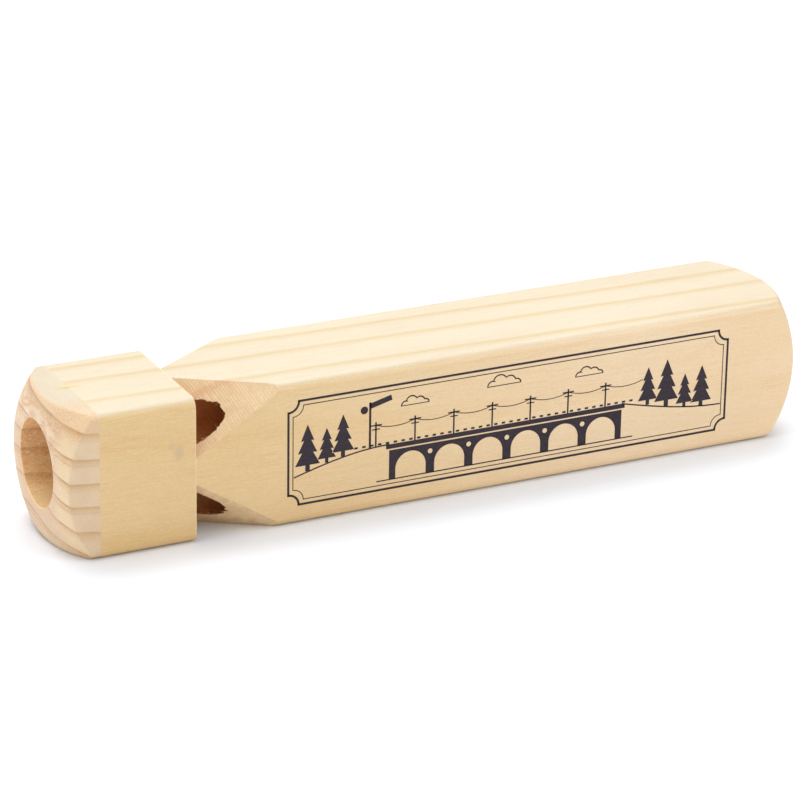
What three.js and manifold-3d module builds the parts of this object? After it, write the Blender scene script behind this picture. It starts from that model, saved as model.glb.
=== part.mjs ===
import * as THREE from 'three';
import { mergeVertices } from 'three/addons/utils/BufferGeometryUtils.js';
import Module from 'manifold-3d';

// A wooden train whistle with four tones. A square pine bar has four chambers drilled from its
// front end, a plug with a flat in the front of each, and a notch sawn across each chamber, so
// that the air from the plug's flat strikes the notch's edge. A cross-grained cap with the mouth
// bore is glued over the front. Millimetres, +X from the mouth to the tail, +Z up. The origin is
// under the middle of the whistle, on the surface that it lies on.

const wasm = await Module();
wasm.setup();

// The bar
const barSide = 35;
const longEdgeRadius = 2.5;

// Lengths along the bar, from the glue joint between the cap and the block
const capLength = 8.7;
const blockLength = 182.4;
const headLength = 23.2;

// The two ends are turned to a flat middle and a crown that falls away as a parabola:
// depth below the flat = fall * (radius - flat radius)^2
const mouthFlatRadius = 11.7;
const mouthFall = 0.0467;
const tailFlatRadius = 6;
const tailFall = 0.0264;
const tailTurnOffset = { y: -1.2, z: 1.1 };

// The mouth bore runs through the cap and on into the block, where it opens to the chambers
const mouthBoreRadius = 10.2;
const mouthBoreOffset = { y: -0.5, z: 1.1 };
const mouthRimEase = 0.4;
const plenumDepth = 6.5;

// The four chambers, drilled side by side with a twist drill
const chamberRadius = 6.2;
const chamberSpacing = { y: 18.2, z: 16.8 };
const drillPointAngle = 118;
const chamberDepthBehindWall = {
  upper_front: 142,
  upper_back: 120,
  lower_front: 95,
  lower_back: 107,
};

// The notches: a square wall at the end of the head, and a slope that runs out to the long edge
const notchFaceDepth = 14.4;
const notchLength = 22.6;

// The plugs
const windwayHeight = 1.4;
const plugClearance = 0.3;

// How far cutting tools reach past the wood, and how finely round shapes are divided
const overrun = 5;
const boreSides = 40;
const turnedSides = 72;
const crownRings = 7;
const edgeSteps = 5;

const corners = {
  upper_front: { y: -1, z: 1 },
  upper_back: { y: 1, z: 1 },
  lower_front: { y: -1, z: -1 },
  lower_back: { y: 1, z: -1 },
};

const alongBar = new THREE.Vector3(1, 0, 0);
const halfSide = barSide / 2;
const halfDiagonal = barSide / Math.SQRT2;

// A unit vector from the bar's axis towards one of its long edges
function towardsEdge(corner) {
  return new THREE.Vector3(0, corner.y, corner.z).normalize();
}

// A closed geometry as a solid that can be cut and joined
function toSolid(geometry) {
  const bare = geometry.clone();
  bare.deleteAttribute('normal');
  bare.deleteAttribute('uv');
  const merged = mergeVertices(bare, 1e-4);
  const index = merged.index.array;
  const triangles = [];
  for (let i = 0; i < index.length; i += 3) {
    const [a, b, c] = [index[i], index[i + 1], index[i + 2]];
    if (a !== b && b !== c && c !== a) {
      triangles.push(a, b, c);
    }
  }
  return new wasm.Manifold(new wasm.Mesh({
    numProp: 3,
    vertProperties: new Float32Array(merged.attributes.position.array),
    triVerts: new Uint32Array(triangles),
  }));
}

function toGeometry(solid) {
  const mesh = solid.getMesh();
  const geometry = new THREE.BufferGeometry();
  geometry.setAttribute('position', new THREE.BufferAttribute(mesh.vertProperties, 3));
  geometry.setIndex(new THREE.BufferAttribute(mesh.triVerts, 1));
  geometry.computeVertexNormals();
  return geometry;
}

// An outline drawn in Y and Z, made solid between two places along the bar
function prismAlongBar(shape, from, to) {
  const geometry = new THREE.ExtrudeGeometry(shape, {
    depth: to - from,
    bevelEnabled: false,
    curveSegments: edgeSteps,
  });
  const sideways = new THREE.Vector3(0, 1, 0);
  const up = new THREE.Vector3(0, 0, 1);
  geometry.applyMatrix4(new THREE.Matrix4().makeBasis(sideways, up, alongBar));
  geometry.translate(from, 0, 0);
  return toSolid(geometry);
}

// A profile of [radius, place along the bar] points, turned about the bar's direction
function turned(profile, sides, y, z) {
  const points = profile.map(([radius, place]) => new THREE.Vector2(radius, place));
  const geometry = new THREE.LatheGeometry(points, sides);
  geometry.rotateZ(-Math.PI / 2);
  geometry.translate(0, y, z);
  return toSolid(geometry);
}

function barOutline() {
  const r = longEdgeRadius;
  const flat = halfSide - r;
  const shape = new THREE.Shape();
  shape.absarc(flat, flat, r, 0, Math.PI / 2, false);
  shape.absarc(-flat, flat, r, Math.PI / 2, Math.PI, false);
  shape.absarc(-flat, -flat, r, Math.PI, Math.PI * 1.5, false);
  shape.absarc(flat, -flat, r, Math.PI * 1.5, Math.PI * 2, false);
  shape.closePath();
  return shape;
}

// The crown of a turned end, from the edge of its flat out past the bar's edges
function crownProfile(flatRadius, fall) {
  const reach = halfDiagonal + overrun;
  const profile = [];
  for (let ring = 0; ring <= crownRings; ring += 1) {
    const radius = flatRadius + (reach - flatRadius) * (ring / crownRings);
    profile.push([radius, fall * (radius - flatRadius) ** 2]);
  }
  return profile;
}

// Everything in front of the tail's crown
function tailEnvelope() {
  const crown = crownProfile(tailFlatRadius, tailFall)
    .reverse()
    .map(([radius, depth]) => [radius, blockLength - depth]);
  const outer = crown[0][0];
  const profile = [[0, -overrun], [outer, -overrun], ...crown, [0, blockLength]];
  return turned(profile, turnedSides, tailTurnOffset.y, tailTurnOffset.z);
}

// Everything behind the mouth's crown
function mouthEnvelope() {
  const crown = crownProfile(mouthFlatRadius, mouthFall)
    .map(([radius, depth]) => [radius, depth - capLength]);
  const outer = crown[crown.length - 1][0];
  const end = Math.max(0, crown[crown.length - 1][1]) + overrun;
  const profile = [[0, -capLength], ...crown, [outer, end], [0, end]];
  return turned(profile, turnedSides, 0, 0);
}

function mouthBore() {
  const eased = mouthBoreRadius + mouthRimEase;
  const profile = [
    [0, -capLength - overrun],
    [eased + overrun, -capLength - overrun],
    [eased, -capLength],
    [mouthBoreRadius, mouthRimEase - capLength],
    [mouthBoreRadius, plenumDepth],
    [0, plenumDepth],
  ];
  return turned(profile, boreSides, mouthBoreOffset.y, mouthBoreOffset.z);
}

// A chamber as the drill leaves it, with the cone of the drill's point at its end
function chamberBore(name) {
  const corner = corners[name];
  const end = headLength + chamberDepthBehindWall[name];
  const pointAngle = THREE.MathUtils.degToRad(drillPointAngle / 2);
  const pointLength = chamberRadius / Math.tan(pointAngle);
  const profile = [
    [0, -overrun],
    [chamberRadius, -overrun],
    [chamberRadius, end],
    [0, end + pointLength],
  ];
  return turned(profile, boreSides, corner.y * chamberSpacing.y / 2, corner.z * chamberSpacing.z / 2);
}

// The wedge that is sawn out of a long edge
function notchWedge(name) {
  const outwards = towardsEdge(corners[name]);
  const wallDepth = halfDiagonal - notchFaceDepth / Math.SQRT2;
  const rise = halfDiagonal - wallDepth;
  const reach = rise + overrun;
  const shape = new THREE.Shape();
  shape.moveTo(headLength, wallDepth);
  shape.lineTo(headLength + notchLength * (reach / rise), wallDepth + reach);
  shape.lineTo(headLength, wallDepth + reach);
  shape.closePath();
  const geometry = new THREE.ExtrudeGeometry(shape, { depth: barSide, bevelEnabled: false });
  geometry.translate(0, 0, -halfSide);
  const across = alongBar.clone().cross(outwards);
  geometry.applyMatrix4(new THREE.Matrix4().makeBasis(alongBar, outwards, across));
  return toSolid(geometry);
}

function makeBlock() {
  let block = prismAlongBar(barOutline(), 0, blockLength).intersect(tailEnvelope());
  for (const name of Object.keys(corners)) {
    block = block.subtract(notchWedge(name)).subtract(chamberBore(name));
  }
  return toGeometry(block.subtract(mouthBore()));
}

function makeCap() {
  const blank = prismAlongBar(barOutline(), -capLength, 0);
  return toGeometry(blank.intersect(mouthEnvelope()).subtract(mouthBore()));
}

// A dowel from the plenum to the notch wall, with a flat towards the bar's edge. It is drawn
// about its own axis, with the flat upwards.
function makePlug() {
  const radius = chamberRadius - plugClearance;
  const flatHeight = chamberRadius - windwayHeight;
  const flatStart = Math.asin(flatHeight / radius);
  const shape = new THREE.Shape();
  shape.absarc(0, 0, radius, flatStart, Math.PI - flatStart, true);
  shape.closePath();
  return new THREE.ExtrudeGeometry(shape, {
    depth: headLength - plenumDepth,
    bevelEnabled: false,
    curveSegments: boreSides,
  });
}

function wood(name, color, roughness) {
  return new THREE.MeshStandardMaterial({ name, color, roughness, metalness: 0 });
}

function piece(name, geometry, material) {
  const mesh = new THREE.Mesh(geometry, material);
  mesh.name = name;
  return mesh;
}

// The pieces are placed from the glue joint, on the bar's axis
const whistle = new THREE.Group();
whistle.position.set((capLength - blockLength) / 2, 0, halfSide);
whistle.add(piece('whistle_block', makeBlock(), wood('block pine', 0xecd4a3, 0.55)));
whistle.add(piece('mouth_cap', makeCap(), wood('cap pine', 0xe6cda6, 0.6)));

for (const [name, corner] of Object.entries(corners)) {
  const plug = piece(`fipple_plug_${name}`, makePlug(), wood('dowel birch', 0xdcc294, 0.65));
  const outwards = towardsEdge(corner);
  const across = outwards.clone().cross(alongBar);
  plug.setRotationFromMatrix(new THREE.Matrix4().makeBasis(across, outwards, alongBar));
  plug.position.set(plenumDepth, corner.y * chamberSpacing.y / 2, corner.z * chamberSpacing.z / 2);
  whistle.add(plug);
}

export default whistle;
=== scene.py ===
# %% [markdown]
# # A wooden train whistle
#
# The real toy is a square pine bar with four chambers drilled along it, four dowel plugs, a notch
# sawn across each chamber, and a cross-grained cap glued over the front with the mouth hole in it.
# The packed CAD model fixes every size. This file dresses it: finer wood surfaces, solid wood
# materials, torn fibres round the sawn windows, and an ink ornament on the side.
#
# We begin by loading the CAD frame, because everything else is measured from it.

import math
from functools import partialmethod

import bpy
import numpy as np
from mathutils import Matrix, Vector


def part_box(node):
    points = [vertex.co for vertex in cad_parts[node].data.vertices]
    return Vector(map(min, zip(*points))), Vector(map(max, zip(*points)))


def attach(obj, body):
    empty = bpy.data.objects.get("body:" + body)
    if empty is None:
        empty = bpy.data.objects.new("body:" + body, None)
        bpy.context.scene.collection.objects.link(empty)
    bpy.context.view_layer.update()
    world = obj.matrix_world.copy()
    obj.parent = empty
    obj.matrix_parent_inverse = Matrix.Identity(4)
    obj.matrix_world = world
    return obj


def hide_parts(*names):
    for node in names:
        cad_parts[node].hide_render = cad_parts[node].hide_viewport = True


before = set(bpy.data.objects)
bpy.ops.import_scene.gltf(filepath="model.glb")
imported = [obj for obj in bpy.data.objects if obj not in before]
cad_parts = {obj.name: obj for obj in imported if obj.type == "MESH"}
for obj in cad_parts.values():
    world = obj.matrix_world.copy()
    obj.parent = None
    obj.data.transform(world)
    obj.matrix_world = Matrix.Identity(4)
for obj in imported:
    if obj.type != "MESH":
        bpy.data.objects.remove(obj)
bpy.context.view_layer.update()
MM = 0.001
print("CAD nodes:", sorted(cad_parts))

# %% [markdown]
# ## Sizes
#
# The overall sizes come from the CAD boxes, so they can't drift from the model. The sizes inside
# the bar, such as the chamber radius, are the maker's numbers, written once here in millimetres.
# A corner of the bar is named by its signs in y and z: (-1, 1) is the upper front one, where the
# drill wandered a little. A chamber's depth is measured from its notch's wall.

# %% Sizes of the whistle, in millimetres
block_low, block_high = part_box("whistle_block")
cap_low, cap_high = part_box("mouth_cap")
JOINT = block_low.x / MM
BLOCK_LENGTH = (block_high.x - block_low.x) / MM
CAP_LENGTH = (cap_high.x - cap_low.x) / MM
HALF_SIDE = (block_high.y - block_low.y) / 2 / MM
AXIS_HEIGHT = HALF_SIDE
ROOT_2 = math.sqrt(2)
HALF_DIAGONAL = HALF_SIDE * ROOT_2

EDGE_RADIUS = 2.5
MOUTH_TURN = {"flat": 11.7, "fall": 0.0467, "y": 0.0, "z": 0.0}
TAIL_TURN = {"flat": 6.0, "fall": 0.0264, "y": -1.2, "z": 1.1}
MOUTH_BORE = {"radius": 10.2, "y": -0.95, "z": 1.25, "ease": 0.3, "plenum": 6.5}
CORNERS = [(1, 1), (-1, 1), (-1, -1), (1, -1)]
CHAMBER_RADIUS = 6.2
CHAMBER_AXIS = {"y": 9.1, "z": 8.4}
CHAMBER_DEPTH = {(-1, 1): 142, (1, 1): 120, (-1, -1): 95, (1, -1): 107}
DRILL_POINT_ANGLE = 118
DRILL_WANDER = {(-1, 1): (0, -0.4, -0.75)}
NOTCH_WALL = JOINT + 23.2
NOTCH_FACE, NOTCH_LENGTH = 14.4, 22.6
WALL_DEPTH = HALF_DIAGONAL - NOTCH_FACE / ROOT_2
NOTCH_RISE = (HALF_DIAGONAL - WALL_DEPTH) / NOTCH_LENGTH
print("joint at", round(JOINT, 2), "block", round(BLOCK_LENGTH, 2), "cap", round(CAP_LENGTH, 2))

# %% [markdown]
# ## The camera
#
# A product photographer stands well back with a long lens, so that a square bar still looks
# square. The place and angle here were worked out from the bar's long edges in the photograph:
# the camera looks from the mouth's side and a little down, and is rolled by under a degree.

# %% Camera at the photograph's angle
AZIMUTH, ELEVATION, ROLL = (math.radians(angle) for angle in (-26.3398, 22.0728, 0.90975))
CAMERA_PLACE = Vector((-0.36588, -0.73030, 0.34911))
back = Vector((
    math.sin(AZIMUTH) * math.cos(ELEVATION),
    -math.cos(AZIMUTH) * math.cos(ELEVATION),
    math.sin(ELEVATION),
))
level_right = (-back).cross(Vector((0, 0, 1))).normalized()
level_up = level_right.cross(-back)
right = math.cos(ROLL) * level_right + math.sin(ROLL) * level_up
up = math.cos(ROLL) * level_up - math.sin(ROLL) * level_right

camera = bpy.data.objects.new("camera", bpy.data.cameras.new("camera"))
camera.data.sensor_width = 36
camera.data.lens = 168.68
camera.data.clip_start = 0.05
camera.matrix_world = Matrix.Translation(CAMERA_PLACE) @ Matrix((right, up, back)).transposed().to_4x4()
bpy.context.scene.collection.objects.link(camera)
bpy.context.scene.camera = camera
print("camera", [round(value, 3) for value in camera.location], "lens", camera.data.lens)

# %% [markdown]
# ## Writing nodes as arithmetic
#
# Geometry Nodes and materials are both graphs of small steps. Placing each Math node by hand is
# slow to read, so a socket is wrapped in a class that understands + - * /. The rule for a turned
# end or a growth ring can then be written as the formula it is.

# %% A socket that can be used in a formula
def feed(socket, value):
    """Gives a socket a number, a colour, an object or the output of another node."""
    if isinstance(value, Field):
        socket.id_data.links.new(value.socket, socket)
    else:
        socket.default_value = value


def step(tree, kind, inputs=None, output=0, **settings):
    """Adds a node, with its settings and its inputs by name or number, and gives one output."""
    node = tree.nodes.new(kind)
    for name, value in settings.items():
        setattr(node, name, value)
    for name, value in (inputs or {}).items():
        feed(node.inputs[name], value)
    return Field(node.outputs[output])


class Field:
    """The output of a node. Each operation on it adds one Math node to the same tree."""

    def __init__(self, socket):
        self.socket = socket
        self.tree = socket.id_data

    def beside(self, output):
        """Another output of the same node."""
        return Field(self.socket.node.outputs[output])

    def math(self, operation, *others):
        inputs = dict(enumerate((self, *others)))
        return step(self.tree, "ShaderNodeMath", inputs, operation=operation)

    __add__ = partialmethod(math, "ADD")
    __sub__ = partialmethod(math, "SUBTRACT")
    __mul__ = partialmethod(math, "MULTIPLY")
    __truediv__ = partialmethod(math, "DIVIDE")
    at_least = partialmethod(math, "MAXIMUM")
    at_most = partialmethod(math, "MINIMUM")
    above = partialmethod(math, "GREATER_THAN")
    below = partialmethod(math, "LESS_THAN")
    size = partialmethod(math, "ABSOLUTE")
    root = partialmethod(math, "SQRT")
    sine = partialmethod(math, "SINE")
    part = partialmethod(math, "FRACT")


def hypotenuse(a, b):
    return (a * a + b * b).root()


print("a Field has", *(name for name in vars(Field) if not name.startswith("_")))

# %% [markdown]
# A place is a vector, so a few helpers take it apart, stretch it and measure it. Noise over a
# stretched place gives long fibres: where the place is squeezed, the pattern is drawn out.

# %% Vectors and noise
def split(vector):
    """The three parts of a vector."""
    x = step(vector.tree, "ShaderNodeSeparateXYZ", {0: vector})
    return x, x.beside(1), x.beside(2)


def joined(tree, x, y, z):
    return step(tree, "ShaderNodeCombineXYZ", {0: x, 1: y, 2: z})


def vector_math(operation, vector, other=(0, 0, 0), output=0):
    inputs = {0: vector, 1: other}
    return step(vector.tree, "ShaderNodeVectorMath", inputs, output, operation=operation)


def scaled(vector, factor):
    return step(vector.tree, "ShaderNodeVectorMath", {0: vector, "Scale": factor}, operation="SCALE")


def noise(vector, scale, detail=2.0, roughness=0.5, distortion=0.0):
    """Smooth noise from 0 to 1 over a vector. The scale is a number, or one for each direction."""
    if isinstance(scale, tuple):
        vector, scale = vector_math("MULTIPLY", vector, scale), 1.0
    return step(vector.tree, "ShaderNodeTexNoise", {
        "Vector": vector,
        "Scale": scale,
        "Detail": detail,
        "Roughness": roughness,
        "Distortion": distortion,
    }, "Fac")


print("vector helpers ready")

# %% [markdown]
# ## A lesson in solid wood
#
# A plank is a slice through a tree, so its lines are where growth rings meet the saw. If the rings
# are a solid pattern in space and the piece just cuts through them, every face agrees with its
# neighbour, round each edge and into each hole. The pattern reads Object coordinates, which stay
# put because each piece's object sits at the origin.

# %% Helpers for wood colours
def ramp(value, *stops, interpolation="EASE"):
    """A colour ramp from (position, shade) stops. A shade is a grey or a colour."""
    color = step(value.tree, "ShaderNodeValToRGB", {0: value})
    band = color.socket.node.color_ramp
    band.interpolation = interpolation
    while len(band.elements) < len(stops):
        band.elements.new(0.5)
    for element, (position, shade) in zip(band.elements, stops):
        element.position = position
        element.color = (*(shade if isinstance(shade, tuple) else (shade, shade, shade)), 1)
    return color


def mixed(factor, first, second, mode="MIX"):
    """Two colours mixed by a factor. The factor or the first colour is a Field."""
    tree = (factor if isinstance(factor, Field) else first).tree
    inputs = {0: factor, 6: first, 7: second}
    for place, value in inputs.items():
        if isinstance(value, tuple):
            inputs[place] = (*value, 1)
    return step(tree, "ShaderNodeMix", inputs, 2, data_type="RGBA", blend_type=mode)


def toned(strength, color, value, *stops):
    """A colour made darker and lighter, in soft light, by a ramp over a value."""
    return mixed(strength, color, ramp(value, *stops), "SOFT_LIGHT")


def fitted(value, low, high, new_low=0.0, new_high=1.0, smooth=False):
    """A value moved from one range to another and held inside it."""
    return step(value.tree, "ShaderNodeMapRange", {
        "Value": value,
        "From Min": low,
        "From Max": high,
        "To Min": new_low,
        "To Max": new_high,
    }, interpolation_type="SMOOTHSTEP" if smooth else "LINEAR")


def spot(point, centre, radii, softness):
    """1 inside an oval in space, fading to 0 at its edge."""
    away = vector_math("DIVIDE", vector_math("SUBTRACT", point, centre), radii)
    length = vector_math("LENGTH", away, output="Value")
    return fitted(length, 1 - softness, 1.0, 1.0, 0.0, smooth=True)


print("colour helpers ready")

# %% [markdown]
# Each finish is written as a recipe: a function that is given a place in millimetres and the
# surface's direction, and gives back its colour, roughness, specular level and bump. What is the
# same for all of them, from the coordinates to the shader's sockets, is then written only once.

# %% From a recipe to a material
def finished(recipe):
    """A material made by a recipe and named after it."""
    material = bpy.data.materials.new(recipe.__name__)
    material.use_nodes = True
    tree = material.node_tree
    place = step(tree, "ShaderNodeTexCoord", output="Object")
    finish = recipe(scaled(place, 1 / MM), place.beside("Normal"))
    shader = tree.nodes["Principled BSDF"].inputs
    feed(shader["Base Color"], finish["color"])
    feed(shader["Roughness"], finish["roughness"])
    feed(shader["Specular IOR Level"], finish["specular"])
    if "bump" in finish:
        height, distance, strength = finish["bump"]
        feed(shader["Normal"], step(tree, "ShaderNodeBump", {
            "Height": height,
            "Distance": distance * MM,
            "Strength": strength,
        }))
    return material


print("recipes can be finished")

# %% [markdown]
# ## The block's growth rings
#
# The top of the bar shows three soft latewood stripes that drift towards one side along its
# length, and the side shows two more, so the rings are sheets that lean through the bar. The
# distance through the sheets is a formula in x, y and z, and one ramp gives the latewood: it
# darkens slowly as the season goes on, and ends sharply when growth stops for the winter.

# %% Distance through the block's rings
RING_LEAN, RING_DRIFT, DRIFT_START = 0.48, 0.0325, -74.0
RINGS = [(-32.9, 0.35), (-21.6, 0.28), (-9.0, 1.0), (3.0, 1.0), (12.3, 1.0), (23.5, 0.8)]
RING_START, RING_END = -40.0, 26.0
SEASON = [(-2.7, 0.0), (-1.3, 0.35), (-0.2, 1.0), (0.4, 0.8), (1.4, 0.0)]


def ring_depth(point):
    """How far a point is through the leaning sheets, in millimetres."""
    x, y, z = split(point)
    slow = (noise(point, (0.02, 0.09, 0.09)) - 0.5) * 2.2
    fine = (noise(point, (0.05, 0.6, 0.6)) - 0.5) * 0.5
    lean = (z - 2 * HALF_SIDE) * RING_LEAN
    return y + lean + (x - DRIFT_START) * RING_DRIFT + slow + fine


def latewood(depth):
    """0 in the pale early wood, rising to 1 at the end of each season."""
    stops = [(0.0, 0.0)]
    for place, strength in RINGS:
        for offset, amount in SEASON:
            share = (place + offset - RING_START) / (RING_END - RING_START)
            if 0 <= share <= 1:
                stops.append((share, amount * strength))
    return ramp(fitted(depth, RING_START, RING_END), *stops)


print("rings at", [place for place, strength in RINGS])

# %% [markdown]
# ## The block's pine
#
# Early wood is cream and latewood a soft orange. Under both run fine fibres along the bar, a few
# resin ducts as short brown dashes, and a slow cloudy change of tone. The recipe also reads how
# square the surface is to the bar's length: end grain drinks the light, so it is darker and
# pinker. All the block's finishes start from this one.

# %% The block's wood
EARLY_SIDE, EARLY_SIDE_TAIL = (0.715, 0.486, 0.220), (0.80, 0.585, 0.36)
# Painted sheen: the top's early wood is paler and greyer, standing for the light from above and behind
# on the top.
EARLY_TOP_PAINTED_SHEEN, EARLY_TOP_TAIL_PAINTED_SHEEN = (0.61, 0.525, 0.38), (0.635, 0.545, 0.405)
LATE_TINT = (0.92, 0.83, 0.62)
# Painted floor bounce light: this tint lightens the low edges of the side near the head.
PAINTED_FLOOR_BOUNCE_TINT = (1.09, 1.08, 1.08)
RESIN, END_GRAIN, PORE = (0.42, 0.24, 0.10), (0.60, 0.42, 0.24), (0.35, 0.2, 0.1)


def block_grain(point, normal, planed=False):
    """Colour, a height for the fibres, and latewood. On planed faces the top is paler as painted sheen,
    and the low edges near the head are lighter as painted floor bounce light.
    """
    late = latewood(ring_depth(point))
    x, y, z = split(point)
    tailward = fitted(x, -60.0, 45.0) * fitted(x, 50.0, 85.0, 1.0, 0.8)
    early = mixed(tailward, EARLY_SIDE, EARLY_SIDE_TAIL)
    if planed:
        # Painted sheen: towards the top, the early wood turns to the paler top colour.
        painted_top_sheen = fitted(z, 33.6, 35.0, smooth=True)
        early = mixed(painted_top_sheen, early, mixed(tailward, EARLY_TOP_PAINTED_SHEEN, EARLY_TOP_TAIL_PAINTED_SHEEN))
        # Painted light: the low part of the side near the head is lightened, standing for light thrown
        # up from the floor.
        painted_floor_bounce = fitted(z, 8.0, 2.5) * fitted(x, -60.0, 0.0)
        early = mixed(painted_floor_bounce, early, PAINTED_FLOOR_BOUNCE_TINT, "MULTIPLY")
    color = mixed(late, early, LATE_TINT, "MULTIPLY")
    fibres = noise(point, (0.035, 1.9, 1.9), 4.0, 0.65)
    hair = noise(point, (0.12, 6.0, 6.0), 2.0, 0.6)
    speck = noise(point, (1.6, 7.0, 7.0), 2.0, 0.7)
    cloudy = noise(point, (0.018, 0.07, 0.07))
    color = toned(0.11, color, fibres, (0.25, (0.62, 0.43, 0.2)), (0.75, (1.0, 0.9, 0.68)))
    color = toned(0.34, color, hair * 0.5 + speck * 0.5, (0.36, 0.2), (0.64, 0.8))
    color = toned(0.22, color, cloudy, (0.3, (0.45, 0.38, 0.3)), (0.7, (0.62, 0.6, 0.56)))
    ducts = ramp(noise(point, (0.45, 4.2, 4.2), 0.0), (0.82, 0.0), (0.86, 1.0))
    color = mixed(ducts * 0.16, color, RESIN)
    endways = fitted(split(normal)[0].size(), 0.35, 0.95, smooth=True)
    pores = ramp(noise(point, (0.4, 4.5, 4.5), 2.0, 0.7), (0.5, 0.0), (0.72, 1.0))
    color = mixed(endways * 0.5, color, END_GRAIN)
    color = mixed(endways * pores * 0.3, color, PORE)
    return color, fibres * 0.6 + hair * 0.4, late


print("block grain ready")

# %% [markdown]
# The long faces were planed and sanded, and then handled: the real whistle has a smudge on its
# head, a yellow streak of glue across the joint, a bruise on its top, and a pale burr where the
# saw stopped. The burr and a painted highlight along the edge are one thin pale band at the
# notch's wall. Each other mark is a soft oval in space, so it falls only on the face that it is on.

# %% Planed and handled pine
def glue_stained(point, color):
    """A yellow streak of glue across the joint, on the top of the bar."""
    streak = spot(point, (-86.7, 0.8, 35.0), (4.4, 1.15, 1.0), 0.85)
    return mixed(streak, color, (0.94, 0.89, 0.42), "MULTIPLY")


def handled(point, color):
    smudge = spot(point, (-67.8, -17.5, 22.9), (2.0, 2.0, 3.2), 0.95)
    smudge = smudge.at_least(spot(point, (-69.4, -17.5, 24.8), (1.6, 2.0, 1.7), 0.95) * 0.6)
    bruise = spot(point, (6.5, -9.6, 35.0), (8.0, 0.8, 1.0), 0.9)
    # Painted highlight: a thin pale band at the notch's wall stands for light on that edge, together
    # with the saw's pale burr.
    burr_and_edge_highlight = fitted((split(point)[0] - (NOTCH_WALL - 0.08)).size(), 0.08, 0.2, 1.0, 0.0)
    patchy = noise(point, (0.3, 1.1, 1.1))
    color = mixed(smudge * 0.45, color, (0.42, 0.34, 0.21))
    color = mixed(bruise * 0.22, glue_stained(point, color), (0.72, 0.38, 0.26))
    return mixed(burr_and_edge_highlight * patchy * 0.8, color, (0.84, 0.68, 0.46))


def planed_pine(point, normal):
    color, height, late = block_grain(point, normal, planed=True)
    return {
        "color": handled(point, color),
        "roughness": fitted(height, 0.3, 0.7, 0.45, 0.55),
        "specular": 1.0,
        "bump": (height, 0.03, 0.5),
    }


PLANED = finished(planed_pine)
print("made", PLANED.name)

# %% [markdown]
# The saw leaves a hatch of fine lines across each slope and a fuzz of broken fibres, both paler
# than the planed face. A drill turns instead, so its bores are scored in rings, and they grow
# browner with depth, because the light in them has already met wood.

# %% Sawn and drilled pine
SAW_SKEW = 0.205


def sawn_pine(point, normal):
    color, height, late = block_grain(point, normal)
    x, y, z = split(point)
    saw_line = x + ((z - AXIS_HEIGHT).size() - y.size()) * SAW_SKEW
    chatter = noise(joined(point.tree, saw_line, 0.0, 0.0), 2.4, 3.0, 0.75)
    teeth = (saw_line * 9.5 + chatter * 12.0).sine() * 0.22 + chatter
    hatch = fitted(teeth, 0.15, 0.85) * fitted(noise(point, 0.45), 0.35, 0.6, 0.35, 1.0)
    fuzz = noise(point, 3.2, 3.0, 0.7)
    color = mixed(0.5, color, (0.70, 0.555, 0.43))
    color = mixed(late * 0.35, color, (0.66, 0.36, 0.24))
    lines = mixed(hatch, (0.45, 0.34, 0.29), (0.94, 0.86, 0.74))
    color = mixed(fitted(z, 20.0, 10.0, 0.6, 1.0), color, lines, "SOFT_LIGHT")
    return {
        "color": toned(0.35, color, fuzz, (0.3, 0.3), (0.7, 0.75)),
        "roughness": 0.82,
        "specular": 0.25,
        "bump": (hatch * 0.6 + fuzz * 0.8, 0.09, 0.7),
    }


def drilled_pine(point, normal):
    color, height, late = block_grain(point, normal)
    tool_marks = noise(point, (2.2, 0.5, 0.5), 3.0, 0.6)
    x, y, z = split(point)
    radius = hypotenuse(y - MOUTH_BORE["y"], z - AXIS_HEIGHT - MOUTH_BORE["z"])
    scores = fitted((radius * 6.0 + tool_marks * 4.0).sine(), -1.0, 1.0, 0.3, 0.6)
    deep = fitted(x, JOINT + 8, NOTCH_WALL - 2)
    color = mixed(fitted(deep, 0.0, 1.0, 0.45, 0.0), color, scores, "SOFT_LIGHT")
    color = mixed(deep * 0.48 + 0.16, color, (0.76, 0.256, 0.08))
    return {
        "color": mixed(tool_marks * 0.4, color, (0.42, 0.17, 0.045)),
        "roughness": 0.85,
        "specular": 0.2,
        "bump": (tool_marks, 0.12, 0.8),
    }


SAWN, DRILLED = finished(sawn_pine), finished(drilled_pine)
print("made", SAWN.name, "and", DRILLED.name)

# %% [markdown]
# ## The cap's rings
#
# The cap is a slice with its fibres across the bar, so the two sides show end grain, and the
# rings cross it as level lines. They are thinner and browner than the block's, and some are
# double. One ramp numbers the rings by height, and what is left of the number past its whole
# part says how far each season has come.

# %% Height through the cap's rings
CAP_RINGS = [0.6, 6.2, 12.2, 17.85, 22.95, 28.2, 33.85, 39.5]


def cap_level(point):
    """Height through the cap's rings, which fall to the front side, bow, and dip with depth."""
    x, y, z = split(point)
    across, rise = y / HALF_SIDE, z / HALF_SIDE - 1.0
    bend = across * (rise * 0.52 - 2.42 + across * (rise * -0.96 + across + 2.12))
    wander = (noise(point, (0.16, 0.12, 0.12)) - 0.5) * 0.5
    return z + (x - JOINT + CAP_LENGTH) * 0.1 + bend + wander


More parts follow.
